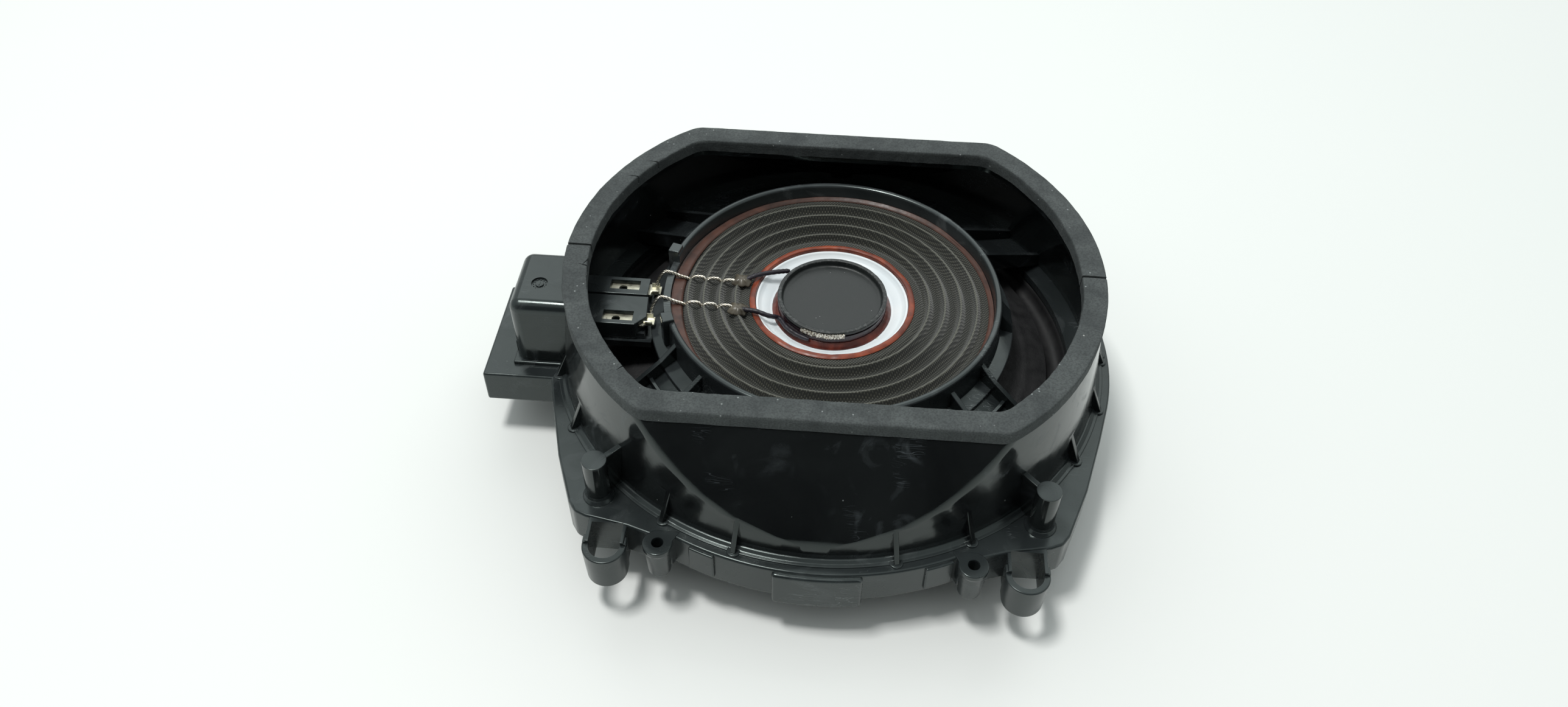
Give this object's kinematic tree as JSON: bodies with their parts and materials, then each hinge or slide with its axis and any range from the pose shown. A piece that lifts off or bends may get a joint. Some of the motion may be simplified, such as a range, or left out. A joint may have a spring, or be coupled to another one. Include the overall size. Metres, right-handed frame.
{
  "type": "shallow car woofer",
  "caption": "Shallow car woofer with a moulded basket, an air duct with a foam gasket, a plug socket, and a coil and cone that move on a cloth spider and a rubber surround.",
  "frame": {"origin": "centre of the flat face under the motor, which the part rests on", "axes": "+Z along the voice coil's travel, out of the duct; +X away from the plug socket; +Y to the rear"},
  "size_m": [0.2275, 0.209, 0.0705],
  "materials": {
    "black_plastic": "satin moulded black plastic",
    "foam": "open-cell black foam",
    "gold_contact": "pale gold plated brass",
    "spider_cloth": "resin-stiffened woven cloth",
    "red_glue": "red-brown set glue",
    "white_plastic": "bluish white moulded plastic",
    "former_paper": "dark brown coated paper",
    "copper_wire": "enamelled copper wire",
    "cap_rubber": "dull dark cap",
    "silver_braid": "braided silver tinsel",
    "black_sleeve": "black insulating sleeve",
    "clear_glue": "brown-grey set glue",
    "cone_paper": "black pressed paper",
    "surround_rubber": "black rubber roll",
    "bridge_plastic": "black moulded plastic",
    "plated_steel": "zinc plated steel",
    "ferrite": "dark grey ferrite",
    "black_screw": "black coated steel"
  },
  "bodies": {
    "basket": {"basket": "black_plastic", "foam_gasket_front": "foam", "foam_gasket_rear": "foam", "terminal_carrier": "black_plastic", "contact_positive": "gold_contact", "contact_negative": "gold_contact", "spider": "spider_cloth", "spider_outer_glue": "red_glue", "surround": "surround_rubber", "tinsel_lead_positive": "silver_braid", "tinsel_lead_negative": "silver_braid", "motor_bridge": "bridge_plastic", "yoke": "plated_steel", "magnet": "ferrite", "top_plate": "plated_steel", "bridge_screw_1": "black_screw", "bridge_screw_2": "black_screw", "bridge_screw_3": "black_screw", "bridge_screw_4": "black_screw", "bridge_screw_5": "black_screw", "bridge_screw_6": "black_screw", "bridge_screw_7": "black_screw", "bridge_screw_8": "black_screw", "magnet_screw_1": "black_screw", "magnet_screw_2": "black_screw", "magnet_screw_3": "black_screw"},
    "diaphragm": {"coupler_ring": "white_plastic", "spider_inner_glue": "red_glue", "voice_coil_former": "former_paper", "former_glue_fillet": "red_glue", "voice_coil_winding": "copper_wire", "coil_cap": "cap_rubber", "coil_tail_strip": "silver_braid", "cone": "cone_paper", "lead_sleeve_positive": "black_sleeve", "lead_sleeve_negative": "black_sleeve", "lead_glue_positive": "clear_glue", "lead_glue_negative": "clear_glue"}
  },
  "joints": [
    {"name": "diaphragm_travel", "type": "slide", "parent": "basket", "child": "diaphragm", "axis": [0, 0, 1], "range_m": [-0.006, 0.006], "stiffness_N_per_m": 2000, "deforming": ["spider", "surround", "tinsel_lead_positive", "tinsel_lead_negative"]}
  ]
}
